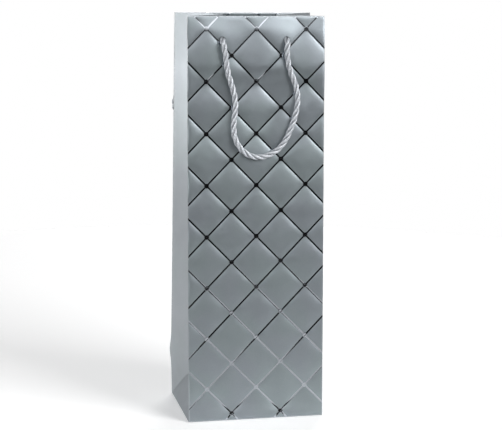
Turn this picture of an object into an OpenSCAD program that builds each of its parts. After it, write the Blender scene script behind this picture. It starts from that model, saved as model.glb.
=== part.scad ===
// Wine gift bag: a tall block-bottomed paper bag with folded-in side gussets, a hemmed and
// card-stiffened rim, a loose base board and two rope handles knotted inside the rim.
//
// Frame: +Z up, the front panel faces -Y, and the origin is the centre of the base's underside.
// Lengths are in millimetres and angles in degrees.

/* [Bag] */
// Width of the front and back panels
bag_w = 120; // [110:1:130]
// Depth of the base from front to back
bag_d = 90; // [80:1:100]
// Height of the rim above the base
bag_h = 350; // [320:5:380]
// How far the front panel leans in by the time it reaches the rim
front_lean = 22; // [14:1:26]
// How far the back panel leans in by the time it reaches the rim
rear_lean = 13; // [8:1:18]
// How far the back panel bulges at the crease left by flat folding
rear_bulge = 5; // [2:0.5:7]
// Height of the crease left across the back panel by flat folding
rear_crease_z = 38; // [30:1:44]

/* [Gussets] */
// How far in the top of each gusset foot stands
foot_inset = 16; // [10:1:20]
// How far in each gusset is folded at the rim
rim_inset = 35; // [26:1:36]

/* [Paper and card] */
// Thickness of the laminated paper
paper_t = 0.4; // [0.3:0.05:0.5]
// Thickness of the card strips inside the rim hem
card_t = 1; // [0.8:0.1:1.2]
// Thickness of the loose base board
board_t = 1.2; // [1:0.1:2]
// Depth of the hem turned in at the rim
hem_h = 42; // [38:1:50]
// Width of the glued side seam
seam_w = 15; // [12:1:20]
// How far the front and rear bottom flaps each reach past the middle of the base
flap_lap = 15; // [10:1:20]
// Length of the two side bottom flaps
side_flap = 34; // [24:1:40]

/* [Handles] */
// Diameter of the twisted rope
rope_d = 5; // [4:0.5:5]
// Distance between the two rope holes of a panel
hole_spacing = 56; // [52:1:58]
// How far the rope holes are punched off the panel's middle line, to the left
hole_shift = 2; // [0:0.5:3]
// Distance of the rope holes below the rim
hole_drop = 20; // [18:1:24]
// Radial play of the rope in its hole
hole_play = 0.25; // [0.2:0.05:0.4]
// How far outside the panel each rope end starts to hang
hang_out = 6; // [5.5:0.5:7]
// Angle at which the rear handle stands off the back panel
rear_stand_off = 30; // [20:1:60]
// Diameter of the knot at each rope end
knot_d = 11; // [10:0.5:12]

/* [Hidden] */

round_fn = 48;
half_w = bag_w / 2;
half_d = bag_d / 2;
rope_r = rope_d / 2;
hole_r = rope_r + hole_play;
hole_x = [-hole_spacing / 2 - hole_shift, hole_spacing / 2 - hole_shift];
left = -1;
right = 1;
front = 0;
rear = 1;

// Colours of the printed silver paper, its white inside, the cards and the rope.
print_silver = [0.55, 0.58, 0.61];
gusset_silver = [0.68, 0.71, 0.74];
paper_white = [0.93, 0.93, 0.92];
card_grey = [0.66, 0.64, 0.6];
rope_silver = [0.8, 0.82, 0.85];

// The rim's front and back edges, and the lean of the panels just below them.
front_rim_y = front_lean - half_d;
rear_rim_y = half_d - rear_lean;
rear_crease_y = half_d - rear_lean * rear_crease_z / bag_h + rear_bulge;
front_tilt = atan(front_lean / bag_h);
rear_tilt = atan((rear_crease_y - rear_rim_y) / (bag_h - rear_crease_z));

// The foot triangles fold flat, so their tip is half the base's depth away from its edge.
foot_tip_z = sqrt(pow(half_d, 2) - pow(foot_inset, 2));

// Outside faces of the two panels at a height z.
function front_y(z) = front_rim_y - front_lean * (1 - z / bag_h);
function rear_y(z) = lookup(z, [[0, half_d], [rear_crease_z, rear_crease_y], [bag_h, rear_rim_y]]);

// The gusset's middle fold is straight, from the foot's tip to the middle of the rim. These
// are its place from front to back, and how far in from the side it stands, at a height z.
function fold_y(z) = lookup(z, [[foot_tip_z, 0], [bag_h, (front_rim_y + rear_rim_y) / 2]]);
function fold_inset(z) = lookup(z, [[foot_tip_z, foot_inset], [bag_h, rim_inset]]);

// The paper's thickness measured along X, at a height z on the gusset.
function gusset_t(z) = paper_t * half_d / ((rear_y(z) - front_y(z)) / 2);

// A gusset half runs from the panel's edge to the middle fold, in rings that meet the edge at
// these heights, the last few level with the hem. At the fold they start at the foot's tip.
gusset_steps = 7;
hem_z = [for (i = [0:2]) bag_h - hem_h * (1 - i / 2)];
gusset_z = concat([0], [for (i = [0:gusset_steps - 1])
    rear_crease_z + (hem_z[0] - rear_crease_z) * i / gusset_steps], hem_z);
function fold_z(edge_z) = foot_tip_z + (bag_h - foot_tip_z) * edge_z / bag_h;

// Layers of the base, counted up from the floor.
front_flap_z = paper_t;
side_flap_z = 2 * paper_t;
board_z = 3 * paper_t;
board_gap = 2;
flap_gap = 0.2;

// Layers of the rim, counted in from the outside of the panel.
card_y = paper_t;
hem_y = paper_t + card_t;
rim_y = hem_y + paper_t;
rim_side_gap = 5;
rim_w = bag_w - 2 * rim_side_gap;
card_gap = 2;

// The seam's distance from the corner, and its ends' distance from the base and the hem.
seam_side_gap = 4;
seam_end_gap = 4;

// The hole cutters start this far outside the panel's face.
cutter_out = 5;
cutter_l = 15;

// The gap between a gusset and its hem.
hem_gap = 0.05;

// The knot's length along the rope, and the rope end left hanging below it.
knot_l = 9;
tail_l = 9;

// Handle routes: [along X, towards the panel, down the panel], from the middle of the line that
// joins the places where the two rope ends start to hang. They end clear of the rope ends.
front_route = [
    [-28, 0, 3], [-26.5, 0, 10], [-25, 1.5, 20], [-23, 2.5, 30], [-20, 3, 39], [-17.5, 3, 49],
    [-17, 3, 58], [-18, 3, 67], [-18.5, 3, 75], [-17.5, 3, 83], [-13.5, 3, 91], [-8, 3, 96.5],
    [-1.5, 3, 99.5], [5, 3, 100], [12, 3, 98.5], [18.5, 3, 95], [24, 3, 90], [28.5, 3, 83],
    [32, 3, 75], [35, 3, 67], [37, 3, 58], [37.5, 3, 48], [35.5, 3, 38], [31.5, 2.5, 28],
    [28.5, 1.5, 18], [27.5, 0, 9], [28, 0, 3]
];
rear_route = [
    [-28, 0, 3], [-29, 0, 10], [-32, 0, 21], [-36, 0, 33], [-41, 0, 45], [-46, 0, 57],
    [-49.5, 0, 68], [-50.5, 0, 79], [-47.5, 0, 89], [-40, 0, 96], [-29, 0, 97], [-17, 0, 92],
    [-6, 0, 82], [3, 0, 70], [11, 0, 57], [18, 0, 44], [23, 0, 31], [26.5, 0, 19],
    [28, 0, 10], [28, 0, 3]
];
route_spacing = 56;
rope_sides = 10;

function unit(v) = v / norm(v);

// A closed tube of radius r, whose rings stand square to the route at each of its points.
function tangent(route, i) =
    unit(route[min(i + 1, len(route) - 1)] - route[max(i - 1, 0)]);
function ring(route, i, r) =
    let (along = tangent(route, i),
         side = unit(cross(along, [0, 1, 0])),
         up = cross(side, along))
    [for (k = [0:rope_sides - 1])
        route[i] + r * (cos(360 * k / rope_sides) * side + sin(360 * k / rope_sides) * up)];

// A skin over rings of n points each, closed at both ends. The quads in a ring's second half
// are split along the other diagonal, so that the two faces of a thin twisted sheet match.
module skin(rings) {
    n = len(rings[0]);
    last = len(rings) - 1;
    points = [for (r = rings) each r];
    sides = [for (j = [0:last - 1]) for (k = [0:n - 1])
        let (a = j * n + k, b = j * n + (k + 1) % n)
            each k < n / 2 ? [[a, b, b + n], [a, b + n, a + n]] : [[a, b, a + n], [b, b + n, a + n]]];
    start = [for (k = [n - 1:-1:0]) k];
    end = [for (k = [0:n - 1]) last * n + k];
    polyhedron(points, concat(sides, [start, end]), convexity = 6);
}

module rope(route) {
    scaled = [for (p = route) [p.x * hole_spacing / route_spacing - hole_shift, p.y, -p.z]];
    skin([for (i = [0:len(scaled) - 1]) ring(scaled, i, rope_r)]);
}

// Places at the rim: x along the rim, y in through the panel, z up along the panel.
module at_rim(side) {
    if (side == front)
        translate([0, front_rim_y, bag_h]) rotate([-front_tilt, 0, 0]) children();
    else
        translate([0, rear_rim_y, bag_h]) rotate([-rear_tilt, 0, 180]) children();
}

// Parts of the gussets and the base are drawn for the left side, and mirrored to the right.
module on_side(side) {
    if (side == left)
        children();
    else
        mirror([1, 0, 0]) children();
}

// The two rope holes of a panel, with their axes along y. Both panels are punched together.
module at_holes(side) {
    at_rim(side)
        for (x = hole_x)
            translate([side == front ? x : -x, 0, -hole_drop]) rotate([-90, 0, 0]) children();
}

module hole_cutters(side) {
    at_holes(side)
        translate([0, 0, -cutter_out]) cylinder(r = hole_r, h = cutter_l, $fn = round_fn);
}

// A panel or strip of constant section, extruded along X from a (y, z) outline.
module along_x(width) {
    rotate([90, 0, 90])
        linear_extrude(height = width, center = true) children();
}

module front_panel() {
    color(print_silver)
        difference() {
            along_x(bag_w)
                polygon([[-half_d, 0], [front_rim_y, bag_h], [front_rim_y + paper_t, bag_h],
                    [paper_t - half_d, 0]]);
            hole_cutters(front);
        }
}

// Outline between two layers of the back panel, given by their distance in from its face.
module rear_layer(outer, inner, z0, z1) {
    z_list = z0 < rear_crease_z ? [z0, rear_crease_z, z1] : [z0, z1];
    polygon(concat([for (z = z_list) [rear_y(z) - outer, z]],
        [for (i = [len(z_list) - 1:-1:0]) [rear_y(z_list[i]) - inner, z_list[i]]]));
}

module back_panel() {
    color(print_silver)
        difference() {
            along_x(bag_w) rear_layer(0, paper_t, 0, bag_h);
            hole_cutters(rear);
        }
}

// A layer of the left gusset whose two faces lie in from the gusset's outside by outer and
// inner, measured along X. Each ring has its corners at the panel's edge and at the fold.
function gusset_ring(end, edge_z, outer, inner) =
    let (z = fold_z(edge_z),
         edge_y = end == front ? front_y(edge_z) + paper_t : rear_y(edge_z) - paper_t,
         edge = [-half_w, edge_y, edge_z],
         fold = [fold_inset(z) - half_w, fold_y(z), z],
         out = [outer, 0, 0],
         in = [inner, 0, 0])
    end == front ? [edge + in, fold + in, fold + out, edge + out]
        : [edge + out, fold + out, fold + in, edge + in];

module gusset_half(side, end) {
    color(gusset_silver)
        on_side(side)
            skin([for (z = gusset_z) gusset_ring(end, z, 0, gusset_t(fold_z(z)))]);
}

module gusset_foot(side) {
    outer = [[-half_w, paper_t - half_d, 0], [-half_w, half_d - paper_t, 0],
        [foot_inset - half_w, 0, foot_tip_z]];
    inner = [for (p = outer) p + [gusset_t(foot_tip_z), 0, 0]];
    color(gusset_silver)
        on_side(side) skin([outer, inner]);
}

module gusset_hem(side) {
    color(print_silver)
        on_side(side)
            for (end = [front, rear])
                skin([for (z = hem_z)
                    let (t = gusset_t(fold_z(z)), outer = t + hem_gap)
                    gusset_ring(end, z, outer, outer + t)]);
}

// The glued seam lies on the inside of the back panel, beside the right rear corner.
module side_seam_flap() {
    color(paper_white)
        translate([half_w - seam_side_gap - seam_w / 2, 0, 0])
            along_x(seam_w)
                rear_layer(paper_t, 2 * paper_t, seam_end_gap, bag_h - hem_h - seam_end_gap);
}

module rim_hem(side) {
    color(print_silver)
        difference() {
            at_rim(side)
                along_x(rim_w)
                    polygon([[paper_t, 0], [rim_y, 0], [rim_y, -hem_h], [hem_y, -hem_h],
                        [hem_y, -paper_t], [paper_t, -paper_t]]);
            hole_cutters(side);
        }
}

module stiffener(side) {
    color(card_grey)
        difference() {
            at_rim(side)
                translate([-rim_w / 2, card_y, card_gap - hem_h])
                    cube([rim_w, card_t, hem_h - card_gap - paper_t]);
            hole_cutters(side);
        }
}

module side_bottom_flap(side) {
    w = bag_d - 2 * board_gap;
    color(paper_white)
        on_side(side)
            translate([paper_t - half_w + board_gap / 2, 0, side_flap_z])
                linear_extrude(height = paper_t)
                    polygon([[0, -w / 2], [side_flap, side_flap - w / 2],
                        [side_flap, w / 2 - side_flap], [0, w / 2]]);
}

module bottom_flap(end) {
    reach = half_d - paper_t - flap_gap + flap_lap;
    color(paper_white)
        translate([board_gap - half_w, end == front ? flap_lap - reach : -flap_lap,
            end == front ? front_flap_z : 0])
            cube([bag_w - 2 * board_gap, reach, paper_t]);
}

module base_board() {
    color(card_grey)
        translate([0, 0, board_z])
            linear_extrude(height = board_t)
                square([bag_w - 2 * board_gap, bag_d - 2 * board_gap], center = true);
}

module rope_ends(side) {
    color(rope_silver)
        at_holes(side)
            translate([0, 0, -hang_out])
                cylinder(r = rope_r, h = hang_out + rim_y, $fn = round_fn);
}

// A round knot with flat ends on the rope's axis, and the rope's tail hanging below it.
module knots(side) {
    color(rope_silver)
        at_holes(side)
            translate([0, 0, rim_y + knot_l / 2]) {
                intersection() {
                    sphere(d = knot_d, $fn = round_fn);
                    cube([knot_d, knot_d, knot_l], center = true);
                }
                rotate([-90, 0, 0])
                    cylinder(r = rope_r, h = knot_d / 2 + tail_l, $fn = round_fn);
            }
}

module front_handle() {
    color(rope_silver)
        at_rim(front)
            translate([0, -hang_out, -hole_drop]) rope(front_route);
}

module rear_handle() {
    color(rope_silver)
        at_rim(rear)
            translate([0, -hang_out, -hole_drop])
                rotate([-rear_stand_off, 0, 0]) mirror([1, 0, 0]) rope(rear_route);
}

front_panel();
back_panel();
gusset_half(left, front);  // left_gusset_front
gusset_half(left, rear);  // left_gusset_rear
gusset_half(right, front);  // right_gusset_front
gusset_half(right, rear);  // right_gusset_rear
gusset_foot(left);  // left_gusset_foot
gusset_foot(right);  // right_gusset_foot
side_seam_flap();
rim_hem(front);  // front_hem
rim_hem(rear);  // rear_hem
gusset_hem(left);  // left_gusset_hem
gusset_hem(right);  // right_gusset_hem
stiffener(front);  // front_stiffener
stiffener(rear);  // rear_stiffener
side_bottom_flap(left);  // left_bottom_flap
side_bottom_flap(right);  // right_bottom_flap
bottom_flap(front);  // front_bottom_flap
bottom_flap(rear);  // rear_bottom_flap
base_board();
rope_ends(front);  // front_rope_ends
rope_ends(rear);  // rear_rope_ends
knots(front);  // front_knots
knots(rear);  // rear_knots
front_handle();
rear_handle();
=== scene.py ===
"""Looks of a wine gift bag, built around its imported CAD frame.

The bag is folded from embossed silver paper: quilted pillows between diagonal lines of mirror
foil, a foil dot where the lines cross, plain gussets, and twisted satin rope handles.
Lengths are in metres in the CAD frame: +Z is up and the front panel faces -Y.
"""
import math

import bmesh
import bpy
import numpy as np
from mathutils import Matrix, Vector


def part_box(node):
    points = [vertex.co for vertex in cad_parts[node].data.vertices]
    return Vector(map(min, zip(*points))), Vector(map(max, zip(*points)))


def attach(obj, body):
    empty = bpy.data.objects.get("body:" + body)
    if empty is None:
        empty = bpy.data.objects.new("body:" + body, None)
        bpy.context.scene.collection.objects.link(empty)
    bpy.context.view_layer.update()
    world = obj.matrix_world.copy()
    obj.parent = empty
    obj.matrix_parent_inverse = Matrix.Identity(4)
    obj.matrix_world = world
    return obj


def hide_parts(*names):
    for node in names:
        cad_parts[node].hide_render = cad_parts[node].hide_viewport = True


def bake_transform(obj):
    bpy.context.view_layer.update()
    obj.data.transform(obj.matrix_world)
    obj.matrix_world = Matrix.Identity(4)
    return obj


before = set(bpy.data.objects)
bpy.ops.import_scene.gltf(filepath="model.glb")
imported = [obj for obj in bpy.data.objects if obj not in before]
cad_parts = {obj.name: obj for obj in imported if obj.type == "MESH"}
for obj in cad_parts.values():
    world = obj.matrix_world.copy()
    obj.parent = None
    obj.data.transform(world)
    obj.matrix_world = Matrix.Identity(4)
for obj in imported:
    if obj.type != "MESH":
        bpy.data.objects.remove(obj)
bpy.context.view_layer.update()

MM = 0.001
BAG = "bag"

# ----------------------------------------------
# Places, read from the frame
# ----------------------------------------------
front_low, front_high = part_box("front_panel")
back_low, back_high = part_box("back_panel")
HALF_W = front_high.x
HEIGHT = front_high.z
FOOT_FRONT_Y = front_low.y
FOOT_REAR_Y = -FOOT_FRONT_Y
PAPER = 0.4 * MM
RIM_FRONT_Y = front_high.y - PAPER
RIM_REAR_Y = back_low.y + PAPER
CREASE_Y = back_high.y
CREASE_Z = 38 * MM
FRONT_TILT = math.atan2(RIM_FRONT_Y - FOOT_FRONT_Y, HEIGHT)
REAR_TILT = math.atan2(CREASE_Y - RIM_REAR_Y, HEIGHT - CREASE_Z)
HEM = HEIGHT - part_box("left_gusset_hem")[0].z
RIM_DEPTH = 1.8 * MM
HEM_HALF_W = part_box("front_hem")[1].x
FLAP_HALF_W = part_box("front_bottom_flap")[1].x
FLAP_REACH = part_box("front_bottom_flap")[1].y

ROPE_D = 5 * MM
HOLE_X = (-30 * MM, 26 * MM)
HOLE_SHIFT = 2 * MM
HOLE_DROP = 20 * MM
HOLE_R = 2.75 * MM
HANG_OUT = 6 * MM
KNOT_HALF = 4.5 * MM
REAR_STAND_OFF = math.radians(30)


class Side:
    """The front or the back of the bag, with places given from its rim."""

    def __init__(self, name, rim_y, tilt, facing):
        self.name = name
        self.rim_y = rim_y
        self.tilt = tilt
        self.facing = facing
        self.holes = [facing * x for x in HOLE_X]

    def at_rim(self, x, inward, up):
        """x along the rim, inward through the panel and up along it, as a point in the frame."""
        c, s = math.cos(self.tilt), math.sin(self.tilt)
        return Vector((
            self.facing * x,
            self.rim_y + self.facing * (inward * c + up * s),
            HEIGHT - inward * s + up * c,
        ))


FRONT = Side("front", RIM_FRONT_Y, FRONT_TILT, 1)
REAR = Side("rear", RIM_REAR_Y, REAR_TILT, -1)

# ----------------------------------------------
# Camera, at the photograph's viewing angle
# ----------------------------------------------
CAMERA_AT = Vector((-0.28491, -1.29301, 0.42143))
CAMERA_YAW = math.radians(12.543)
CAMERA_PITCH = math.radians(-10.597)
CAMERA_ROLL = math.radians(0.804)
CAMERA_LENS = 109.08


def make_camera():
    data = bpy.data.cameras.new("camera")
    data.lens = CAMERA_LENS
    data.sensor_width = 36
    data.clip_start = 0.05
    data.clip_end = 50
    camera = bpy.data.objects.new("camera", data)
    bpy.context.scene.collection.objects.link(camera)
    yaw, pitch, roll = CAMERA_YAW, CAMERA_PITCH, CAMERA_ROLL
    ahead = Vector((math.sin(yaw) * math.cos(pitch), math.cos(yaw) * math.cos(pitch), math.sin(pitch)))
    right = Vector((math.cos(yaw), -math.sin(yaw), 0))
    above = right.cross(ahead)
    right_rolled = right * math.cos(roll) + above * math.sin(roll)
    above_rolled = above * math.cos(roll) - right * math.sin(roll)
    turned = Matrix((right_rolled, above_rolled, -ahead)).transposed()
    camera.matrix_world = Matrix.Translation(CAMERA_AT) @ turned.to_4x4()
    bpy.context.scene.camera = camera


make_camera()

# ----------------------------------------------
# Shared helpers for meshes and materials
# ----------------------------------------------


def smoothstep(low, high, value):
    t = np.clip((value - low) / (high - low), 0, 1)
    return t * t * (3 - 2 * t)


def linked(mesh, materials):
    for material in materials:
        mesh.materials.append(material)
    obj = bpy.data.objects.new(mesh.name, mesh)
    bpy.context.scene.collection.objects.link(obj)
    return obj


def object_of(name, verts, faces, *materials):
    mesh = bpy.data.meshes.new(name)
    mesh.from_pydata([tuple(v) for v in verts], [], faces)
    mesh.update()
    return linked(mesh, materials)


def object_from(bm, name, *materials):
    """Turns a finished bmesh into a linked object."""
    mesh = bpy.data.meshes.new(name)
    bm.to_mesh(mesh)
    bm.free()
    return linked(mesh, materials)


def thicken(obj, thickness, inner_material=0):
    """Gives a sheet its thickness, inward from its outer face."""
    thick = obj.modifiers.new("thick", "SOLIDIFY")
    thick.thickness = thickness
    thick.offset = -1
    thick.material_offset = inner_material


def apply_modifiers(obj):
    """Bakes the object's modifiers into its mesh."""
    graph = bpy.context.evaluated_depsgraph_get()
    made = bpy.data.meshes.new_from_object(obj.evaluated_get(graph), preserve_all_data_layers=True,
                                           depsgraph=graph)
    obj.modifiers.clear()
    obj.data = made


def smooth(obj, sharp_degrees):
    obj.data.polygons.foreach_set("use_smooth", [True] * len(obj.data.polygons))
    obj.data.set_sharp_from_angle(angle=math.radians(sharp_degrees))


def point_values(obj, name, values):
    """One number for each vertex, for the material to read."""
    layer = obj.data.attributes.new(name, "FLOAT", "POINT")
    layer.data.foreach_set("value", np.asarray(values, np.float32))


class Shader:
    """A material with one Principled shader, and short calls for the nodes that feed it."""

    def __init__(self, name, **sockets):
        self.material = bpy.data.materials.new(name)
        self.material.use_nodes = True
        self.tree = self.material.node_tree
        self.shader = self.tree.nodes["Principled BSDF"]
        for socket, value in sockets.items():
            self.shader.inputs[socket.replace("_", " ")].default_value = value

    def node(self, kind, inputs=None, **settings):
        made = self.tree.nodes.new(kind)
        for key, value in settings.items():
            setattr(made, key, value)
        for key, value in (inputs or {}).items():
            if isinstance(value, bpy.types.NodeSocket):
                self.tree.links.new(value, made.inputs[key])
            else:
                made.inputs[key].default_value = value
        return made

    def place(self):
        return self.node("ShaderNodeTexCoord").outputs["Object"]

    def stretched(self, vector, scale):
        return self.node("ShaderNodeMapping", {"Vector": vector, "Scale": scale}).outputs["Vector"]

    def noise(self, vector, scale, detail=3, roughness=0.5):
        made = self.node("ShaderNodeTexNoise", {"Vector": vector, "Scale": scale, "Detail": detail,
                                                "Roughness": roughness})
        return made.outputs["Fac"]

    def attribute(self, name, output="Fac"):
        return self.node("ShaderNodeAttribute", attribute_name=name).outputs[output]

    def ramp(self, value, low, high):
        """value from 0 to 1 onto low to high."""
        made = self.node("ShaderNodeMapRange", {"Value": value, "To Min": low, "To Max": high})
        return made.outputs["Result"]

    def narrow(self, value, start, end, low, high):
        made = self.node("ShaderNodeMapRange", {"Value": value, "From Min": start, "From Max": end,
                                                "To Min": low, "To Max": high})
        return made.outputs["Result"]

    def math(self, operation, first, second):
        made = self.node("ShaderNodeMath", operation=operation)
        for socket, value in zip(made.inputs, (first, second)):
            if isinstance(value, bpy.types.NodeSocket):
                self.tree.links.new(value, socket)
            else:
                socket.default_value = value
        return made.outputs["Value"]

    def mix(self, factor, first, second):
        made = self.node("ShaderNodeMix", data_type="RGBA")
        for index, value in ((0, factor), (6, first), (7, second)):
            if isinstance(value, bpy.types.NodeSocket):
                self.tree.links.new(value, made.inputs[index])
            elif index:
                made.inputs[index].default_value = (*value, 1)
            else:
                made.inputs[index].default_value = value
        return made.outputs[2]

    def bump(self, height, distance, strength=1.0, under=None):
        inputs = {"Height": height, "Distance": distance, "Strength": strength}
        if under is not None:
            inputs["Normal"] = under
        return self.node("ShaderNodeBump", inputs).outputs["Normal"]

    def into(self, socket, value):
        self.tree.links.new(value, self.shader.inputs[socket])


# ----------------------------------------------
# Materials
# ----------------------------------------------
# A paler silver: for the fine flecks of the paper's tooth, and for the painted highlight (with a little
# rubbed wear) along the folds.
SILVER_PALE_FLECK_AND_FOLD_HIGHLIGHT = (0.62, 0.65, 0.68)


def silver_paper(name, violet, green, metallic, roughness):
    """Satin-laminated silver paper: clouds of two greys, a fine tooth, and paler along its folds, a
    painted highlight with a little rubbed wear.
    """
    s = Shader(name, Metallic=metallic, Specular_Tint=(0.35, 0.37, 0.40, 1), Coat_Weight=0.06,
               Coat_Roughness=0.3)
    place = s.place()
    tooth = s.noise(place, 2600, 4, 0.6)
    hue = s.mix(s.narrow(s.noise(place, 26, 2), 0.4, 0.6, 0, 1), violet, green)
    shade = s.narrow(s.noise(place, 70, 3), 0.3, 0.7, 0.97, 1.03)
    tone = s.node("ShaderNodeVectorMath", {0: hue, 1: shade}, operation="MULTIPLY").outputs["Vector"]
    grain = s.mix(s.narrow(tooth, 0.3, 0.7, 0, 0.10), tone, SILVER_PALE_FLECK_AND_FOLD_HIGHLIGHT)
    # Paler along the folds: a painted highlight where the folds catch the light, with a little rubbed
    # wear.
    folded = s.mix(s.math("MULTIPLY", s.attribute("fold"), s.ramp(s.noise(place, 700), 0.2, 0.8)),
                   grain, SILVER_PALE_FLECK_AND_FOLD_HIGHLIGHT)
    s.into("Base Color", folded)
    s.into("Roughness", s.narrow(s.noise(place, 160, 3), 0.3, 0.7, roughness - 0.02, roughness + 0.02))
    tooth_bump = s.bump(tooth, 0.012 * MM, 0.6)
    s.into("Normal", s.bump(s.noise(place, 420, 2), 0.03 * MM, 0.5, tooth_bump))
    return s.material


def white_paper(name):
    """The uncoated inside of the paper: warm white with short fibres and a soft surface."""
    s = Shader(name, Metallic=0.0)
    place = s.place()
    fibres = s.noise(s.stretched(place, (1.0, 1.0, 0.35)), 1500, 5, 0.7)
    cloud = s.noise(place, 60, 3)
    base = s.mix(cloud, (0.80, 0.80, 0.79), (0.88, 0.88, 0.87))
    s.into("Base Color", s.mix(s.narrow(fibres, 0.5, 0.75, 0, 0.3), base, (0.70, 0.69, 0.67)))
    s.into("Roughness", s.ramp(fibres, 0.72, 0.9))
    s.into("Normal", s.bump(fibres, 0.03 * MM, 0.7))
    return s.material


def grey_board(name):
    """Recycled greyboard: mottled warm grey with dark and light flecks and coarse fibres."""
    s = Shader(name, Metallic=0.0)
    place = s.place()
    mottle = s.noise(place, 90, 5, 0.65)
    flecks = s.noise(place, 800, 3, 0.8)
    fibres = s.noise(s.stretched(place, (0.25, 1.0, 1.0)), 1300, 4, 0.7)
    base = s.mix(mottle, (0.33, 0.315, 0.29), (0.47, 0.455, 0.425))
    dark = s.mix(s.narrow(flecks, 0.62, 0.7, 0, 0.6), base, (0.16, 0.15, 0.14))
    s.into("Base Color", s.mix(s.narrow(flecks, 0.36, 0.3, 0, 0.5), dark, (0.62, 0.60, 0.57)))
    s.into("Roughness", s.ramp(fibres, 0.8, 0.95))
    s.into("Normal", s.bump(fibres, 0.06 * MM, 0.8))
    return s.material


def mirror_foil(name):
    """Hot-stamped silver foil: a mirror with a faint press texture and tiny scuffs."""
    s = Shader(name, Metallic=1.0)
    place = s.place()
    scuffs = s.noise(s.stretched(place, (1.0, 1.0, 4.0)), 900, 4, 0.7)
    s.into("Base Color", s.mix(s.narrow(scuffs, 0.4, 0.7, 0, 1), (0.50, 0.53, 0.57), (0.40, 0.43, 0.47)))
    s.into("Roughness", s.narrow(scuffs, 0.45, 0.75, 0.09, 0.17))
    s.into("Normal", s.bump(s.noise(place, 240, 2), 0.02 * MM, 0.35))
    return s.material


def satin_rope(name):
    """Bright satin yarn: fine fibres along each yarn, and painted shade where yarns and strands meet."""
    s = Shader(name, Metallic=0.35, Sheen_Weight=0.25, Sheen_Roughness=0.35, Coat_Weight=0.2,
               Coat_Roughness=0.25)
    yarn = s.attribute("yarn", "Vector")
    fibres = s.noise(s.stretched(yarn, (1400.0, 9.0, 1.0)), 1.0, 3, 0.6)
    slubs = s.noise(s.stretched(yarn, (90.0, 5.0, 3.7)), 1.0, 2)
    tone = s.mix(s.narrow(slubs, 0.35, 0.65, 0, 1), (0.36, 0.39, 0.43), (0.70, 0.73, 0.77))
    lit = s.mix(s.narrow(fibres, 0.45, 0.65, 0, 0.6), tone, (0.90, 0.91, 0.93))
    # Painted shade in the gaps between yarns and strands.
    s.into("Base Color", s.mix(s.attribute("painted_valley_shade"), lit, (0.09, 0.10, 0.12)))
    s.into("Roughness", s.narrow(fibres, 0.3, 0.7, 0.28, 0.45))
    s.into("Normal", s.bump(fibres, 0.08 * MM, 0.9))
    return s.material


WHITE_TO_Y = -0.085
GREY_FROM_Y = -0.22


def pale_floor(name):
    """White around the bag, and a light grey further to the front, where the foil mirrors it."""
    s = Shader(name, Metallic=0.0, Roughness=0.8, Emission_Color=(1, 1, 1, 1))
    place = s.place()
    y = s.node("ShaderNodeSeparateXYZ", {"Vector": place}).outputs["Y"]
    front = s.narrow(y, WHITE_TO_Y, GREY_FROM_Y, 0, 1)
    white = s.mix(s.noise(place, 3, 2), (0.88, 0.88, 0.885), (0.91, 0.91, 0.91))
    s.into("Base Color", s.mix(front, white, (0.60, 0.60, 0.60)))
    s.into("Emission Strength", s.ramp(front, 0.24, 0.02))
    return s.material


PRINT = silver_paper("printed_silver_paper", (0.245, 0.274, 0.298), (0.240, 0.279, 0.292), 0.75, 0.35)
PLAIN = silver_paper("plain_silver_paper", (0.375, 0.400, 0.422), (0.370, 0.403, 0.418), 0.7, 0.40)
INSIDE = white_paper("white_inside_paper")
BOARD = grey_board("grey_board")
FOIL = mirror_foil("mirror_foil")
SATIN = satin_rope("satin_rope")
FLOOR = pale_floor("pale_floor")

# ----------------------------------------------
# Rope handles: the cords' routes come first
# ----------------------------------------------
# Routes of the two handles: [along X, towards the panel, down the panel] in millimetres, from
# the line that joins the places where the two rope ends start to hang.
FRONT_ROUTE = [
    [-28, 0, 3], [-26.5, 0, 10], [-25, 1.5, 20], [-23, 2.5, 30], [-20, 3, 39], [-17.5, 3, 49],
    [-17, 3, 58], [-18, 3, 67], [-18.5, 3, 75], [-17.5, 3, 83], [-13.5, 3, 91], [-8, 3, 96.5],
    [-1.5, 3, 99.5], [5, 3, 100], [12, 3, 98.5], [18.5, 3, 95], [24, 3, 90], [28.5, 3, 83],
    [32, 3, 75], [35, 3, 67], [37, 3, 58], [37.5, 3, 48], [35.5, 3, 38], [31.5, 2.5, 28],
    [28.5, 1.5, 18], [27.5, 0, 9], [28, 0, 3],
]
REAR_ROUTE = [
    [-28, 0, 3], [-29, 0, 10], [-32, 0, 21], [-36, 0, 33], [-41, 0, 45], [-46, 0, 57],
    [-49.5, 0, 68], [-50.5, 0, 79], [-47.5, 0, 89], [-40, 0, 96], [-29, 0, 97], [-17, 0, 92],
    [-6, 0, 82], [3, 0, 70], [11, 0, 57], [18, 0, 44], [23, 0, 31], [26.5, 0, 19],
    [28, 0, 10], [28, 0, 3],
]
# The rope through its hole: how far inward from the panel's face, and how far below the hole.
STUB = [(4.5 * MM, 0), (1.8 * MM, 0), (-0.6 * MM, 0), (-3.2 * MM, 0.5 * MM)]
# The stretch of rope, measured down from the hinge line, whose two end points are worked out but not
# used.
BEND_FROM = 1 * MM
BEND_TO = 7.5 * MM


def route_point(side, x, toward, down):
    """A point of a handle's route, in the frame. The rear handle stands off its panel."""
    x = side.facing * (x - HOLE_SHIFT)
    if side is FRONT:
        return side.at_rim(x, -HANG_OUT + toward, -HOLE_DROP - down)
    out = down * math.sin(REAR_STAND_OFF)
    drop = down * math.cos(REAR_STAND_OFF)
    return side.at_rim(x, -HANG_OUT - out, -HOLE_DROP - drop)


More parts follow.
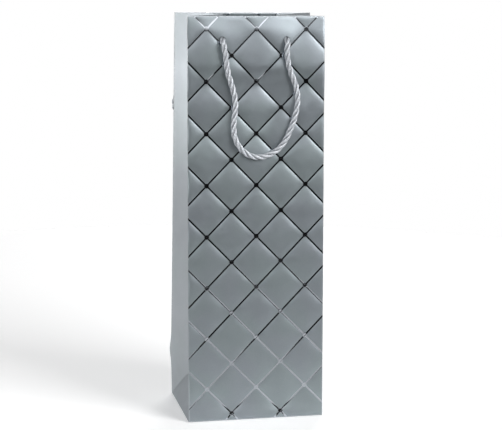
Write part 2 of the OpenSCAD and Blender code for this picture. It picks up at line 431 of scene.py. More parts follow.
def curve_through(points, step):
    """Points a step apart on a smooth curve (centripetal Catmull-Rom) through the given ones."""
    knots = [Vector(p) for p in points]
    knots = [knots[0] * 2 - knots[1], *knots, knots[-1] * 2 - knots[-2]]
    dense = []
    for a, b, c, d in zip(knots, knots[1:], knots[2:], knots[3:]):
        t1 = (b - a).length ** 0.5
        t2 = t1 + (c - b).length ** 0.5
        t3 = t2 + (d - c).length ** 0.5
        for i in range(24):
            t = t1 + (t2 - t1) * i / 24
            ab = a * ((t1 - t) / t1) + b * (t / t1)
            bc = b * ((t2 - t) / (t2 - t1)) + c * ((t - t1) / (t2 - t1))
            cd = c * ((t3 - t) / (t3 - t2)) + d * ((t - t2) / (t3 - t2))
            abc = ab * ((t2 - t) / t2) + bc * (t / t2)
            bcd = bc * ((t3 - t) / (t3 - t1)) + cd * ((t - t1) / (t3 - t1))
            dense.append(abc * ((t2 - t) / (t2 - t1)) + bcd * ((t - t1) / (t2 - t1)))
    dense.append(knots[-2])
    dense = np.array(dense)
    along = np.concatenate(([0], np.cumsum(np.linalg.norm(np.diff(dense, axis=0), axis=1))))
    stops = np.linspace(0, along[-1], max(2, round(along[-1] / step)) + 1)
    return np.stack([np.interp(stops, along, dense[:, k]) for k in range(3)], axis=1)


def unit_rows(rows):
    return rows / np.linalg.norm(rows, axis=1, keepdims=True)


def moving_frames(path):
    """Tangents and two crosswise directions along a path, carried without extra twist."""
    tangents = unit_rows(np.gradient(path, axis=0))
    first = np.cross(tangents[0], (0.31, 0.87, 0.38))
    across = [first / np.linalg.norm(first)]
    for tangent in tangents[1:]:
        kept = across[-1] - tangent * float(across[-1] @ tangent)
        across.append(kept / np.linalg.norm(kept))
    across = np.array(across)
    return tangents, across, np.cross(tangents, across)


STRANDS = 3
YARNS = 7
RING_POINTS = YARNS * 4
LAY = 22 * MM
YARN_LAY = 9 * MM
YARN_DEPTH = 0.2
STRAND_SHARE = 0.53


def twisted_rope(path, rope_r):
    """Vertices, faces, painted shade for the gaps between yarns and strands, and yarn coordinates of a
    three-strand rope on a path.
    """
    tangents, across, beside = moving_frames(path)
    along = np.concatenate(([0], np.cumsum(np.linalg.norm(np.diff(path, axis=0), axis=1))))
    strand_r = STRAND_SHARE * rope_r
    helix_r = rope_r - strand_r
    around = np.arange(RING_POINTS) * 2 * math.pi / RING_POINTS
    ridge = np.abs(np.sin(YARNS * around / 2))
    radius = strand_r * (1 - YARN_DEPTH * (1 - ridge ** 0.7))
    verts, faces, painted_valley_shades, yarns = [], [], [], []
    for strand in range(STRANDS):
        label = strand * YARNS + np.floor(np.arange(RING_POINTS) / 4)
        turn = 2 * math.pi * (along / LAY + strand / STRANDS)
        radial = np.cos(turn)[:, None] * across + np.sin(turn)[:, None] * beside
        centre = path + helix_r * radial
        heading = unit_rows(np.gradient(centre, axis=0))
        outward = unit_rows(radial - heading * np.sum(radial * heading, axis=1, keepdims=True))
        sideways = np.cross(heading, outward)
        start = sum(len(v) for v in verts)
        for i, s in enumerate(along):
            angle = around - 2 * math.pi * s / YARN_LAY
            ring = centre[i] + radius[:, None] * (np.cos(angle)[:, None] * outward[i]
                                                  + np.sin(angle)[:, None] * sideways[i])
            verts.append(ring)
            # Painted shade: darker between the yarns, on each strand's side towards the rope's core, and
            # where two strands meet.
            inner = np.clip(-np.cos(angle), 0, 1)
            side_gap = np.clip((np.abs(np.sin(angle)) - 0.75) / 0.25, 0, 1)
            painted_valley_shades.append(np.clip(0.55 * (1 - ridge) ** 2 + inner + 0.45 * side_gap, 0, 1))
            yarns.append(np.stack([around * strand_r + label * 0.13, np.full(RING_POINTS, s) * 100,
                                   label], axis=1))
        for i in range(len(along) - 1):
            for k in range(RING_POINTS):
                a = start + i * RING_POINTS + k
                b = start + i * RING_POINTS + (k + 1) % RING_POINTS
                faces.append((a, b, b + RING_POINTS, a + RING_POINTS))
        first = start + np.arange(RING_POINTS)
        faces.append(tuple(int(v) for v in first[::-1]))
        faces.append(tuple(int(v) for v in first + (len(along) - 1) * RING_POINTS))
    return np.concatenate(verts), faces, np.concatenate(painted_valley_shades), np.concatenate(yarns)


def rope_object(name, paths, rope_r):
    """One object of twisted rope along one or more paths."""
    verts, faces, painted_valley_shades, yarns = [], [], [], []
    for path in paths:
        v, f, dark, coordinates = twisted_rope(path, rope_r)
        base = sum(len(x) for x in verts)
        faces += [tuple(i + base for i in face) for face in f]
        verts.append(v)
        painted_valley_shades.append(dark)
        yarns.append(coordinates)
    obj = object_of(name, np.concatenate(verts), faces, SATIN)
    smooth(obj, 75)
    # Painted shade for the gaps between yarns and strands.
    point_values(obj, "painted_valley_shade", np.concatenate(painted_valley_shades))
    layer = obj.data.attributes.new("yarn", "FLOAT_VECTOR", "POINT")
    layer.data.foreach_set("vector", np.concatenate(yarns).astype(np.float32).ravel())
    return obj


def handle(side, route):
    """A handle from knot to knot."""
    first_x, last_x = side.holes
    points = [side.at_rim(first_x, inward, -HOLE_DROP - drop) for inward, drop in STUB]
    points += [route_point(side, *[v * MM for v in p]) for p in route]
    points += [side.at_rim(last_x, inward, -HOLE_DROP - drop) for inward, drop in reversed(STUB)]
    path = curve_through(points, 0.6 * MM)
    rope = rope_object(side.name + "_rope", [path], ROPE_D / 2)
    start = route_point(side, 0, 0, BEND_FROM)
    end = route_point(side, 0, 0, BEND_TO)
    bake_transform(rope)
    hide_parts(side.name + "_handle", side.name + "_rope_ends")
    side.at_rim(first_x, 0, -HOLE_DROP)


handle(FRONT, FRONT_ROUTE)
handle(REAR, REAR_ROUTE)

KNOT_ROPE_R = 2.2 * MM
KNOT_SIZE = 1.2 * MM
KNOT_TAIL = 14 * MM


def knot_paths(side, x):
    """The overhand knot inside a hole, drawn as a tight trefoil, and the cut end below it."""
    middle = RIM_DEPTH + KNOT_HALF
    turns = np.linspace(0, 2 * math.pi, 60)
    trefoil = [side.at_rim(x + KNOT_SIZE * (math.sin(t) + 2 * math.sin(2 * t)) * 0.95,
                           middle - KNOT_SIZE * math.sin(3 * t) * 1.3,
                           -HOLE_DROP + KNOT_SIZE * (math.cos(t) - 2 * math.cos(2 * t)))
               for t in turns]
    tail = [side.at_rim(x + 0.5 * MM, middle - 1 * MM, -HOLE_DROP - 1 * MM),
            side.at_rim(x + 0.3 * MM, middle, -HOLE_DROP - 6 * MM),
            side.at_rim(x - 0.4 * MM, middle + 0.3 * MM, -HOLE_DROP - 10 * MM),
            side.at_rim(x, middle, -HOLE_DROP - KNOT_TAIL)]
    return [curve_through(trefoil, 0.6 * MM), curve_through(tail, 0.6 * MM)]


def knots(side):
    paths = [path for x in side.holes for path in knot_paths(side, x)]
    obj = rope_object(side.name + "_rope_knots", paths, KNOT_ROPE_R)
    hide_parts(side.name + "_knots")
    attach(obj, BAG)


knots(FRONT)
knots(REAR)

# ----------------------------------------------
# The folded panels: flap, foot, face, rim and hem are one embossed sheet
# ----------------------------------------------
# The print's diagonal lattice: its pitch along and down the panel, and its first row of dots.
PITCH_X = 43.61 * MM
PITCH_T = 44.48 * MM
FIRST_ROW = 10.88 * MM
LINE_GAP = 1 / math.hypot(1 / PITCH_X, 1 / PITCH_T)
LINE_W = 1.35 * MM
DOT_R = 2.05 * MM
PILLOW = 0.8 * MM
# How quickly a dome rises beside its pressed lines.
SHOULDER = 2.6 * MM
# The share of a dome's height that is missing over the card strip, and again beside the rim.
FLATTER = 0.35
FOLD_R = 0.6 * MM
CREASE_R = 60 * MM
SECTION_STEP = 0.15 * MM


def filleted(corners):
    """Dense points on a path of straight runs through [(point, radius), ...]."""
    runs = [corners[0][0]]
    marks = []
    for (a, _), (b, radius), (c, _) in zip(corners, corners[1:], corners[2:]):
        before, after = (a - b).normalized(), (c - b).normalized()
        bend = math.pi - before.angle(after)
        if radius == 0 or bend < 1e-4:
            runs.append(b)
            marks.append(b)
            continue
        cut = radius * math.tan(bend / 2)
        centre = b + (before + after).normalized() * (radius / math.cos(bend / 2))
        start, stop = b + before * cut, b + after * cut
        count = max(4, round(radius * bend / SECTION_STEP))
        from_centre = (start - centre).normalized()
        to_centre = (stop - centre).normalized()
        for i in range(count + 1):
            runs.append(centre + from_centre.slerp(to_centre, i / count) * radius)
        marks.append(centre + (b - centre).normalized() * radius)
    runs.append(corners[-1][0])
    points = np.array([tuple(p) for p in runs])
    along = np.concatenate(([0], np.cumsum(np.linalg.norm(np.diff(points, axis=0), axis=1))))
    stops = np.arange(0, along[-1], SECTION_STEP)
    dense = np.stack([np.interp(stops, along, points[:, k]) for k in range(2)], axis=1)
    at = [float(stops[np.argmin(np.linalg.norm(dense - np.array(m), axis=1))]) for m in marks]
    return stops, dense, at


def sheet_section(side):
    """The printed face's section, as (t, y, z): t is the way down from the rim along the sheet."""
    def rim(inward, up):
        p = side.at_rim(0, inward, up)
        return Vector((p.y, p.z))

    corners = [(rim(RIM_DEPTH, -HEM), 0), (rim(RIM_DEPTH, 0), FOLD_R), (rim(0, 0), FOLD_R)]
    if side is FRONT:
        step_y = -FLAP_REACH - 3 * MM
        corners += [(Vector((FOOT_FRONT_Y, 0)), FOLD_R), (Vector((step_y, 0)), 3 * MM),
                    (Vector((step_y + 2 * MM, PAPER)), 3 * MM), (Vector((FLAP_REACH, PAPER)), 0)]
    else:
        corners += [(Vector((CREASE_Y, CREASE_Z)), CREASE_R), (Vector((FOOT_REAR_Y, 0)), FOLD_R),
                    (Vector((-FLAP_REACH, 0)), 0)]
    stops, dense, at = filleted(corners)
    t = stops - at[1]
    slope = np.gradient(dense, axis=0)
    slope /= np.linalg.norm(slope, axis=1, keepdims=True)
    normal = side.facing * np.stack([slope[:, 1], -slope[:, 0]], axis=1)
    foot = at[3 if side is REAR else 2] - at[1]
    return {"t": t, "at": dense, "normal": normal, "low": float(t[0]), "high": float(t[-1]),
            "foot": foot, "hem_top": at[0] - at[1]}


SECTIONS = {side.name: sheet_section(side) for side in (FRONT, REAR)}

FLARE_FOOT = 0.35 * MM
FLARE_RIM = 1.1 * MM
FLARE_CREASE = 1.3 * MM
FLARE_CREASE_Z = 41 * MM
FLARE_CREASE_REACH = 9 * MM


def splay(z):
    """How far the back's long edges and the gussets' rear edges stand out sideways at a height."""
    at_foot = FLARE_FOOT * smoothstep(0, 30 * MM, z)
    with_height = FLARE_RIM * (np.clip(z, 0, HEIGHT) / HEIGHT) ** 1.5
    at_crease = FLARE_CREASE * np.exp(-((z - FLARE_CREASE_Z) / FLARE_CREASE_REACH) ** 2)
    return at_foot + with_height + at_crease


def on_sheet(side, x, t, lift):
    """Points of the sheet lifted off its printed face, in the frame. x, t and lift are arrays."""
    section = SECTIONS[side.name]
    y = np.interp(t, section["t"], section["at"][:, 0])
    z = np.interp(t, section["t"], section["at"][:, 1])
    ny = np.interp(t, section["t"], section["normal"][:, 0])
    nz = np.interp(t, section["t"], section["normal"][:, 1])
    if side is REAR:
        on_face = smoothstep(-0.5 * MM, 0.5 * MM, t)
        on_face *= smoothstep(section["foot"] + 1 * MM, section["foot"], t)
        x = x + np.sign(x) * splay(z) * smoothstep(HALF_W - 14 * MM, HALF_W, np.abs(x)) * on_face
    return np.stack([side.facing * x, y + lift * ny, z + lift * nz], axis=1)


def lattice_of(x, t):
    """The two lattice coordinates: whole numbers of the first lie on the rising lines."""
    down = (t - FIRST_ROW) / PITCH_T
    return x / PITCH_X + down, down - x / PITCH_X


def from_lattice(a, b):
    return (a - b) / 2 * PITCH_X, FIRST_ROW + (a + b) / 2 * PITCH_T


# How far the card strip stands out at its lower end, and how far below it that dies out.
CARD_TILT = 1.1 * MM
CARD_RELEASE = 55 * MM
HOLE_BULGE = 0.4 * MM
HOLE_BULGE_R = 10 * MM
# Flutes as wide as the holes are apart run down the strip and, further to the right, below it.
FLUTE_PITCH = 56 * MM
FLUTE_HEIGHT = 0.42 * MM
FLUTE_SHIFT_TOP = -14 * MM
FLUTE_SHIFT_LOW = 12 * MM
# Hollows below the card strip and above the foot, and of the pressed lines between the two.
HOLLOW = -0.6 * MM
FOOT_HOLLOW = -1.0 * MM
FACE_HOLLOW = -0.4 * MM


def card_lift(side, t):
    """The front's stiffened top strip leans back a little more than the panel below it."""
    if side is REAR:
        return np.zeros_like(t)
    return CARD_TILT * np.clip(t / HEM, 0, 1) * (1 - smoothstep(HEM - 1 * MM, HEM + CARD_RELEASE, t))


def waves(side, x, t):
    """Soft dents and swellings of the panel: at the rope holes, below the card strip, at the foot."""
    foot = SECTIONS[side.name]["foot"]
    lift = np.zeros_like(x)
    for hole_x in side.holes:
        r2 = (x - hole_x) ** 2 + (t - HOLE_DROP) ** 2
        lift += HOLE_BULGE * np.exp(-r2 / (2 * HOLE_BULGE_R ** 2))
    lower = smoothstep(HEM - 1 * MM, HEM + 20 * MM, t)
    in_strip = smoothstep(0, 12 * MM, t) * (1 - lower)
    under_strip = lower * (1 - smoothstep(75 * MM, 150 * MM, t))
    for shift, share, level in ((FLUTE_SHIFT_TOP, in_strip, 1), (FLUTE_SHIFT_LOW, under_strip, -1)):
        phase = 2 * math.pi * (x - side.holes[0] - shift) / FLUTE_PITCH
        lift += FLUTE_HEIGHT * share * (np.cos(phase) + level)
    below = smoothstep(44 * MM, 60 * MM, t) * (1 - smoothstep(60 * MM, 84 * MM, t))
    middle = 1 - smoothstep(34 * MM, 58 * MM, np.abs(x - 4 * MM))
    lift += HOLLOW * below * middle
    to_foot = smoothstep(foot - 62 * MM, foot - 14 * MM, t) * (1 - smoothstep(foot - 14 * MM, foot, t))
    lift += FOOT_HOLLOW * to_foot
    edges = smoothstep(0, 22 * MM, HALF_W - np.abs(x))
    return lift * smoothstep(0, 3 * MM, t) * (1 - smoothstep(foot - 4 * MM, foot, t)) * edges


def pillows(side, x, t):
    """Height of the embossing above its pressed lines and dots."""
    a, b = lattice_of(x, t)
    rise = []
    for value in (a, b):
        off = np.abs(value - np.round(value)) * LINE_GAP - LINE_W / 2
        off = np.clip(off, 0, None)
        quick = 1 - np.exp(-off / SHOULDER)
        slow = np.sin(np.clip(off / (LINE_GAP / 2), 0, 1) * math.pi / 2)
        rise.append(0.6 * quick + 0.4 * slow)
    over_card = 1 - smoothstep(36 * MM, 60 * MM, t)
    at_rim = 1 - smoothstep(5 * MM, 16 * MM, t)
    dome = PILLOW * (1 - FLATTER * over_card) * (1 - FLATTER * at_rim) * rise[0] * rise[1]
    face = smoothstep(-1 * MM, 3.2 * MM, t)
    to_edge = 0.3 + 0.7 * smoothstep(0, 1.6 * MM, HALF_W - np.abs(x))
    foot = SECTIONS[side.name]["foot"]
    to_foot = 1 - smoothstep(foot - 2.5 * MM, foot, t)
    hem = 0.4 * smoothstep(0, 2 * MM, SECTIONS[side.name]["hem_top"] - t)
    return dome * (face * to_edge * to_foot + hem)


EDGE_R = 0.35 * MM
EDGE_DROP = 0.3 * MM


def edge_round(side, x, t):
    """The panel's long edges turn over a small radius into the gusset, softest at the foot."""
    foot = SECTIONS[side.name]["foot"]
    softness = 0.1 + 0.9 * smoothstep(foot - 60 * MM, foot - 35 * MM, t)
    near = np.clip(1 - (HALF_W - np.abs(x)) / EDGE_R, 0, 1)
    return -EDGE_DROP * softness * (1 - np.sqrt(1 - np.minimum(near, 0.98) ** 2))


# The seam flap's two sides, as x across the back panel seen from behind.
SEAM = [-corner.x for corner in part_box("side_seam_flap")]
SEAM_INNER = min(abs(x) for x in SEAM)
SEAM_SIDE = math.copysign(1, sum(SEAM))


def over_seam(x):
    """1 where the back panel lies on the glued side seam flap, which keeps it flat, and 0 elsewhere."""
    return smoothstep(SEAM_INNER - 8 * MM, SEAM_INNER - 1 * MM, x * SEAM_SIDE)


def base_lift(side, x, t):
    """How far the pressed lines lie off the panel's flat face."""
    free = smoothstep(42 * MM, 60 * MM, t) * (1 - smoothstep(330 * MM, 348 * MM, t))
    lift = waves(side, x, t) + FACE_HOLLOW * free
    if side is REAR:
        lift += over_seam(x) * (np.maximum(lift, 0) - lift)
    return lift + card_lift(side, t) + edge_round(side, x, t)


def edge_lift(side, hand, z):
    """How far a panel's long edge stands off its flat face at a height. hand is -1 on the left."""
    x = np.array([side.facing * hand * HALF_W])
    t = np.array([(HEIGHT - z) / math.cos(side.tilt)])
    return float((base_lift(side, x, t) - edge_round(side, x, t))[0])


def cell_steps():
    """Stops across one cell of the lattice, closest beside the pressed lines."""
    near = [0, 0.5, 0.8, 1.2, 1.8, 2.7, 4.0, 6.0, 8.6, 12.0]
    near = [v * MM / LINE_GAP for v in near]
    return near + [0.5] + [1 - v for v in reversed(near[1:])]


def flat_sheet(side):
    """The sheet laid flat, as a bmesh in (x, t), whose grid follows the lattice's diagonals."""
    section = SECTIONS[side.name]
    steps = cell_steps()
    per_cell = len(steps)
    bm = bmesh.new()
    made = {}

    def corner(i, j):
        if (i, j) not in made:
            a = i // per_cell + steps[i % per_cell]
            b = j // per_cell + steps[j % per_cell]
            x, t = from_lattice(a, b)
            made[i, j] = bm.verts.new((x, t, 0))
        return made[i, j]

    reach = math.ceil(section["high"] / PITCH_T) + 3
    for cell_a in range(-4, reach):
        for cell_b in range(-4, reach):
            x, t = from_lattice(cell_a + 0.5, cell_b + 0.5)
            if abs(x) > HALF_W + PITCH_X / 2 or not (
                    section["low"] - PITCH_T / 2 < t < section["high"] + PITCH_T / 2):
                continue
            for i in range(per_cell):
                for j in range(per_cell):
                    p, q = cell_a * per_cell + i, cell_b * per_cell + j
                    bm.faces.new((corner(p, q), corner(p, q + 1), corner(p + 1, q + 1),
                                  corner(p + 1, q)))
    return bm


def cut(bm, axis, value, keep=None, only=None):
    """Cuts the flat sheet along x or t, and drops what lies past the cut where keep says so."""
    normal = Vector((1, 0, 0)) if axis == "x" else Vector((0, 1, 0))
    faces = [f for f in bm.faces if only is None or only(f.calc_center_median())]
    geometry = set(faces)
    for face in faces:
        geometry.update(face.edges)
        geometry.update(face.verts)
    bmesh.ops.bisect_plane(bm, geom=list(geometry), plane_co=normal * value, plane_no=normal,
                           dist=1e-7, clear_outer=keep == "below", clear_inner=keep == "above")


def trim(bm, side):
    """Cuts the flat sheet to its outline, and adds rows where it folds."""
    section = SECTIONS[side.name]
    cut(bm, "x", HALF_W, "below")
    cut(bm, "x", -HALF_W, "above")
    cut(bm, "t", section["high"] - 0.05 * MM, "below")
    cut(bm, "t", section["low"] + 0.05 * MM, "above")
    for inset in (0.12, 0.3, 0.6, 1.2):
        cut(bm, "x", HALF_W - inset * MM)
        cut(bm, "x", inset * MM - HALF_W)
    for bend, side_of in ((0, 1), (section["hem_top"], -1), (section["foot"], -1)):
        for step in (-0.5, -0.25, 0, 0.25, 0.5, side_of * 1, side_of * 1.6, side_of * 2.3, side_of * 3.2):
            cut(bm, "t", bend + step * MM, only=lambda c, b=bend: abs(c.y - b) < 5 * MM)
    hem_start, flap_start = -0.5 * MM, section["foot"] + 0.5 * MM
    for sign in (1, -1):
        cut(bm, "x", sign * HEM_HALF_W, only=lambda c: c.y < hem_start)
    for sign in (1, -1):
        cut(bm, "x", sign * FLAP_HALF_W, only=lambda c: c.y > flap_start)
    outside = [f for f in bm.faces for c in [f.calc_center_median()]
               if (c.y < hem_start and abs(c.x) > HEM_HALF_W)
               or (c.y > flap_start and abs(c.x) > FLAP_HALF_W)]
    bmesh.ops.delete(bm, geom=outside, context="FACES")


def cutter(side):
    """The two rope holes, as one mesh to cut with."""
    bm = bmesh.new()
    for x in side.holes:
        ends = [side.at_rim(x, y, -HOLE_DROP) for y in (-5 * MM, 5 * MM)]
        across = side.at_rim(x + HOLE_R, 0, -HOLE_DROP) - side.at_rim(x, 0, -HOLE_DROP)
        above = side.at_rim(x, 0, -HOLE_DROP + HOLE_R) - side.at_rim(x, 0, -HOLE_DROP)
        turns = [k * math.pi / 24 for k in range(48)]
        rings = [[bm.verts.new(end + across * math.cos(turn) + above * math.sin(turn)) for turn in turns]
                 for end in ends]
        for k in range(48):
            bm.faces.new((rings[0][k], rings[0][k - 1], rings[1][k - 1], rings[1][k]))
        bm.faces.new(rings[0])
        bm.faces.new(rings[1][::-1])
    bmesh.ops.recalc_face_normals(bm, faces=bm.faces)
    return object_from(bm, "hole_cutter")


def folded_sheet(side, nodes):
    """One panel's paper, from its bottom flap up the face and over the rim to its hem."""
    bm = flat_sheet(side)
    trim(bm, side)
    bm.verts.ensure_lookup_table()
    flat = np.array([v.co[:2] for v in bm.verts])
    x, t = flat[:, 0], flat[:, 1]
    placed = on_sheet(side, x, t, base_lift(side, x, t) + pillows(side, x, t))
    for vert, co in zip(bm.verts, placed):
        vert.co = co
    obj = object_from(bm, side.name + "_sheet", PRINT, INSIDE)
    section = SECTIONS[side.name]
    # Paler near the long edges, more so towards the foot, and along the rim, hem and foot bends: a
    # painted highlight where the folds catch the light, with a little rubbed wear.
    highlight_and_wear = 1 - smoothstep(0.2 * MM, 0.9 * MM, HALF_W - np.abs(x))
    highlight_and_wear *= 0.2 + 0.6 * smoothstep(section["foot"] - 60 * MM, section["foot"], t)
    for bend in (0, section["hem_top"], section["foot"]):
        highlight_and_wear = np.maximum(highlight_and_wear, 1 - smoothstep(0.2 * MM, 1.0 * MM, np.abs(t - bend)))
    point_values(obj, "fold", 0.8 * highlight_and_wear)
    thicken(obj, PAPER, 1)
    tool = cutter(side)
    holes = obj.modifiers.new("holes", "BOOLEAN")
    holes.operation = "DIFFERENCE"
    holes.object = tool
    holes.solver = "EXACT"
    apply_modifiers(obj)
    bpy.data.objects.remove(tool)
    smooth(obj, 35)
    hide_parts(*nodes)
    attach(obj, BAG)


folded_sheet(FRONT, ["front_panel", "front_hem", "front_bottom_flap"])
folded_sheet(REAR, ["back_panel", "rear_hem", "rear_bottom_flap"])

# ----------------------------------------------
# Mirror foil in the pressed lines and on the dots
# ----------------------------------------------
FOIL_T = 0.03 * MM
FOIL_LIFT = 0.07 * MM
# The foil's lean across its own width, on the rising and on the falling lines. It grows down the
# panel, and halves again near the foot.
LEAN = {"rising": 0.110, "falling": -0.015}
LEAN_GROWS = (120 * MM, 260 * MM)
LEAN_HALVES = (268 * MM, 305 * MM)
# The pressed line's hollow section: how far its edges stand above its middle.
GROOVE = 0.02 * MM


def clipped(line, family, half_w, low, high):
    """The stretch of a lattice line inside |x| < half_w and low < t < high, or None."""
    ends = []
    for other in (-60.0, 60.0):
        a, b = (line, other) if family == "rising" else (other, line)
        ends.append(np.array(from_lattice(a, b)))
    start, along = ends[0], ends[1] - ends[0]
    first, last = 0.0, 1.0
    for axis, least, most in ((0, -half_w, half_w), (1, low, high)):
        p, q = sorted(((least - start[axis]) / along[axis], (most - start[axis]) / along[axis]))
        first, last = max(first, p), min(last, q)
    if last - first < 1e-6:
        return None
    return start + along * first, start + along * last


def foil_strips(side, half_w, low, high):
    """Strips of foil in the pressed lines of one zone of the sheet."""
    verts, faces = [], []
    for family in ("rising", "falling"):
        for line in range(-6, 16):
            offsets = (-0.5, -0.3, -0.1, 0.1, 0.3, 0.5)
            runs = [clipped(line + off * LINE_W / LINE_GAP, family, half_w, low, high) for off in offsets]
            if any(run is None for run in runs):
                continue
            longest = max(np.linalg.norm(run[1] - run[0]) for run in runs)
            count = max(3, round(longest / (1.2 * MM)))
            start = sum(len(v) for v in verts)
            for off, run in zip(offsets, runs):
                share = np.linspace(0, 1, count)[:, None]
                flat = run[0] + (run[1] - run[0]) * share
                x, t = flat[:, 0], flat[:, 1]
                lean = LEAN[family] * smoothstep(*LEAN_GROWS, t) * (1 - 0.5 * smoothstep(*LEAN_HALVES, t))
                lift = base_lift(side, x, t) + FOIL_LIFT + lean * off * LINE_W + GROOVE * (2 * off) ** 2
                verts.append(on_sheet(side, x, t, lift))
            for k in range(len(offsets) - 1):
                for i in range(count - 1):
                    a = start + k * count + i
                    face = (a, a + 1, a + count + 1, a + count)
                    faces.append(face if family == "rising" else face[::-1])
    return np.concatenate(verts), faces


def foil_dots(side, half_w, low, high):
    """A slightly sunken round of foil wherever two lines cross in one zone of the sheet."""
    verts, faces = [], []
    # Radius and height, in millimetres.
    profile = [(0.0, 0.0), (0.5, 0.001), (1.0, 0.004), (1.5, 0.010), (1.9, 0.016), (2.05, 0.0)]
    around = np.arange(24) * 2 * math.pi / 24
    for a in range(-6, 16):
        for b in range(-6, 16):
            x0, t0 = from_lattice(a, b)
            if abs(x0) > half_w - DOT_R or not low + DOT_R < t0 < high - DOT_R:
                continue
            start = sum(len(v) for v in verts)
            for radius, height in profile[1:]:
                x = x0 + radius * MM * np.cos(around)
                t = t0 + radius * MM * np.sin(around)
                lift = base_lift(side, x, t) + FOIL_LIFT * 1.4 + height * MM
                verts.append(on_sheet(side, x, t, lift))
            x, t = np.array([x0]), np.array([t0])
            lift = base_lift(side, x, t) + FOIL_LIFT * 1.4 + profile[0][1] * MM
            verts.append(on_sheet(side, x, t, lift))
            centre = start + 24 * (len(profile) - 1)
            for k in range(24):
                n = (k + 1) % 24
                faces.append((start + n, start + k, centre))
                for ring in range(len(profile) - 2):
                    p, q = start + ring * 24, start + ring * 24 + 24
                    faces.append((p + k, p + n, q + n, q + k))
    return np.concatenate(verts), faces


def foil(side):
    """All of one sheet's foil: on its hem, its face and its bottom flap."""
    section = SECTIONS[side.name]
    zones = [(HEM_HALF_W, section["low"] + 0.2 * MM, -0.45 * MM),
             (HALF_W - 0.15 * MM, -0.45 * MM, section["foot"] + 0.45 * MM),
             (FLAP_HALF_W, section["foot"] + 0.45 * MM, section["high"] - 0.2 * MM)]
    for what, maker in (("lines", foil_strips), ("dots", foil_dots)):
        verts, faces = [], []
        for zone in zones:
            v, f = maker(side, *zone)
            base = sum(len(x) for x in verts)
            verts.append(v)
            faces += [tuple(i + base for i in face) for face in f]
        obj = object_of(f"{side.name}_foil_{what}", np.concatenate(verts), faces, FOIL)
        thicken(obj, FOIL_T)
        apply_modifiers(obj)
        smooth(obj, 50)
        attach(obj, BAG)


foil(FRONT)
foil(REAR)

# ----------------------------------------------
# Gussets: one plain folded sheet on each side, with its foot triangle
# ----------------------------------------------
TIP_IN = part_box("left_gusset_foot")[1].x - PAPER + HALF_W
TIP_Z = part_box("left_gusset_foot")[1].z
FOLD_TOP_IN = 35 * MM
GUSSET_ROWS = 44
GUSSET_COLUMNS = 10
GUSSET_PAPER = 0.36 * MM
# How far the gusset's edge lies behind the panel's face, its halves' bow, and its creases' width.
EDGE_IN = 0.12 * MM
GUSSET_BOW = 0.9 * MM
CREASE_WIDTH = 0.55 * MM


def face_y(side, z):
    """The outer face's place from front to back at a height z."""
    section = SECTIONS[side.name]
    on_face = (section["t"] > 1 * MM) & (section["t"] < section["foot"] - 0.5 * MM)
    heights = section["at"][on_face, 1][::-1]
    return float(np.interp(z, heights, section["at"][on_face, 0][::-1]))


def gusset(name, hand):
    """The paper of one gusset. hand is -1 on the left and 1 on the right."""
    nodes = [f"{name}_gusset_front", f"{name}_gusset_rear", f"{name}_gusset_foot"]
    bm = bmesh.new()
    fold_top = Vector((HALF_W - FOLD_TOP_IN, (RIM_FRONT_Y + RIM_REAR_Y) / 2, HEIGHT))
    tip = Vector((HALF_W - TIP_IN, 0, TIP_Z))
    halves = {}
    for side in (FRONT, REAR):
        rows = []
        for i in range(GUSSET_ROWS + 1):
            v = i / GUSSET_ROWS
            z = HEIGHT * v
            inward = EDGE_IN - edge_lift(side, hand, z)
            edge = Vector((HALF_W - 0.02 * MM, face_y(side, z) + side.facing * inward, z))
            fold = tip.lerp(fold_top, v)
            across = (fold - edge).normalized()
            up = (fold_top - tip).normalized()
            out = across.cross(up).normalized()
            out = out if out.x > 0 else -out
            row = []
            for k in range(GUSSET_COLUMNS + 1):
                u = k / GUSSET_COLUMNS
                bow = GUSSET_BOW * math.sin(math.pi * u) * math.sin(math.pi * min(1, v * 1.15)) ** 2
                point = edge.lerp(fold, u) + out * bow * (1 if side is REAR else -0.6)
                if side is REAR:
                    point.x += float(splay(z)) * (1 - u) ** 3
                row.append(bm.verts.new((hand * point.x, point.y, point.z)))
            rows.append(row)
        halves[side.name] = rows
        for low, high in zip(rows, rows[1:]):
            for k in range(GUSSET_COLUMNS):
                bm.faces.new((low[k], low[k + 1], high[k + 1], high[k]))
    front_side, rear_side = halves["front"][0], halves["rear"][0]
    rows = []
    for start, end in zip(front_side, rear_side):
        rows.append([start] + [bm.verts.new(start.co.lerp(end.co, k / GUSSET_COLUMNS))
                               for k in range(1, GUSSET_COLUMNS)] + [end])
    for low, high in zip(rows, rows[1:]):
        for k in range(GUSSET_COLUMNS):
            bm.faces.new((low[k], low[k + 1], high[k + 1], high[k]))
    bmesh.ops.remove_doubles(bm, verts=bm.verts, dist=1e-6)
    bmesh.ops.dissolve_degenerate(bm, edges=bm.edges, dist=1e-7)
    bmesh.ops.recalc_face_normals(bm, faces=bm.faces)
    if hand * sum(f.normal.x * f.calc_area() for f in bm.faces) < 0:
        bmesh.ops.reverse_faces(bm, faces=bm.faces)
    obj = object_from(bm, name + "_gusset_sheet", PLAIN, INSIDE)
    rounded = obj.modifiers.new("rounded", "BEVEL")
    rounded.width = CREASE_WIDTH
    rounded.segments = 3
    rounded.limit_method = "ANGLE"
    rounded.angle_limit = math.radians(12)
    thicken(obj, GUSSET_PAPER, 1)
    apply_modifiers(obj)
    co = np.array([v.co for v in obj.data.vertices])
    near_edge = HALF_W - np.abs(co[:, 0])
    # A faint painted highlight along the edge that meets the panel.
    point_values(obj, "fold", 0.15 * (1 - smoothstep(0.2 * MM, 1.0 * MM, near_edge)))
    smooth(obj, 30)
    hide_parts(*nodes)
    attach(obj, BAG)


gusset("left", -1)
gusset("right", 1)

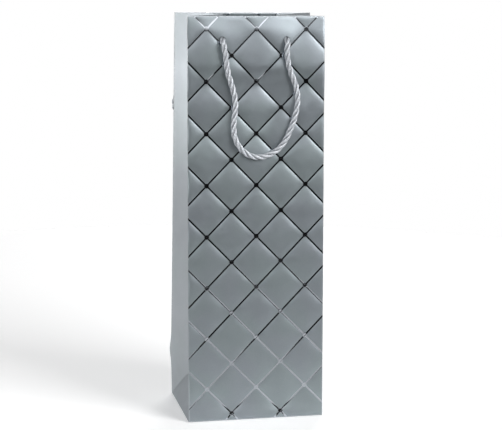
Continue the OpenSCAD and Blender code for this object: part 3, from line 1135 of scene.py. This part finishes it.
# ----------------------------------------------
# CAD pieces whose shape is right keep it, and get their material
# ----------------------------------------------
FINISHES = {
    "side_seam_flap": INSIDE,
    "left_gusset_hem": PLAIN,
    "right_gusset_hem": PLAIN,
    "front_stiffener": BOARD,
    "rear_stiffener": BOARD,
    "left_bottom_flap": INSIDE,
    "right_bottom_flap": INSIDE,
    "base_board": BOARD,
}
for node, material in FINISHES.items():
    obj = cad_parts[node]
    obj.data.materials.clear()
    obj.data.materials.append(material)

# ----------------------------------------------
# Floor, light and world
# ----------------------------------------------
FLOOR_R = 0.85
# How far the floor lies below the bag, so that their faces don't coincide.
FLOOR_GAP = 0.2 * MM


def make_floor():
    """A round white table top, whose edge is out of the camera's view."""
    bm = bmesh.new()
    bmesh.ops.create_circle(bm, cap_ends=True, segments=128, radius=FLOOR_R)
    floor = object_from(bm, "floor", FLOOR)
    floor.location = (0, 0, -FLOOR_GAP)


def soft_light(name, at, target, size, power):
    data = bpy.data.lights.new(name, "AREA")
    data.shape = "RECTANGLE"
    data.size, data.size_y = size
    data.energy = power
    light = bpy.data.objects.new(name, data)
    light.location = at
    light.rotation_euler = (Vector(target) - Vector(at)).to_track_quat("-Z", "Y").to_euler()
    light.visible_camera = False
    bpy.context.scene.collection.objects.link(light)


def make_world():
    """White to the camera, and a dark studio with a bright band above the horizon in reflections."""
    world = bpy.data.worlds.new("studio")
    bpy.context.scene.world = world
    world.use_nodes = True
    nodes, links = world.node_tree.nodes, world.node_tree.links
    background = nodes["Background"]
    paths = nodes.new("ShaderNodeLightPath")
    direction = nodes.new("ShaderNodeTexCoord")
    parts = nodes.new("ShaderNodeSeparateXYZ")
    links.new(direction.outputs["Generated"], parts.inputs["Vector"])

    def ranged(value, start, end, low, high, kind="LINEAR"):
        made = nodes.new("ShaderNodeMapRange")
        made.interpolation_type = kind
        for key, number in (("From Min", start), ("From Max", end), ("To Min", low), ("To Max", high)):
            made.inputs[key].default_value = number
        links.new(value, made.inputs["Value"])
        return made.outputs["Result"]

    def combined(operation, first, second=None):
        made = nodes.new("ShaderNodeMath")
        made.operation = operation
        links.new(first, made.inputs[0])
        if second is not None:
            links.new(second, made.inputs[1])
        return made.outputs["Value"]

    def chosen(factor, otherwise, then):
        made = nodes.new("ShaderNodeMix")
        links.new(paths.outputs[factor], made.inputs[0])
        for socket, value in ((made.inputs[2], otherwise), (made.inputs[3], then)):
            if isinstance(value, float):
                socket.default_value = value
            else:
                links.new(value, socket)
        return made.outputs[0]

    band = ranged(parts.outputs["Z"], 0.12, 0.28, 0.006, 2.0, "SMOOTHSTEP")
    overhead = ranged(parts.outputs["Z"], 0.5, 0.85, 1.0, 0.4)
    sideways = ranged(combined("ABSOLUTE", parts.outputs["X"]), 0.5, 0.85, 1.0, 0.4)
    mirrored = combined("MULTIPLY", band, combined("MULTIPLY", overhead, sideways))
    strength = chosen("Is Camera Ray", chosen("Is Glossy Ray", 0.16, mirrored), 1.0)
    links.new(strength, background.inputs["Strength"])
    background.inputs["Color"].default_value = (1, 1, 1, 1)


make_floor()
make_world()
soft_light("key_right", (1.04, -1.13, 1.00), (0, 0, 0.24), (0.9, 0.9), 27)
soft_light("box_left", (-1.25, -0.22, 0.40), (0, 0, 0.30), (0.75, 0.5), 7.0)
soft_light("front_left", (-0.80, -1.05, 0.26), (0, 0, 0.16), (0.4, 0.4), 2.1)
soft_light("rear_fill", (0.5, 1.5, 1.1), (0, 0, 0.2), (0.8, 0.8), 13)
bpy.context.scene.view_settings.view_transform = "Standard"
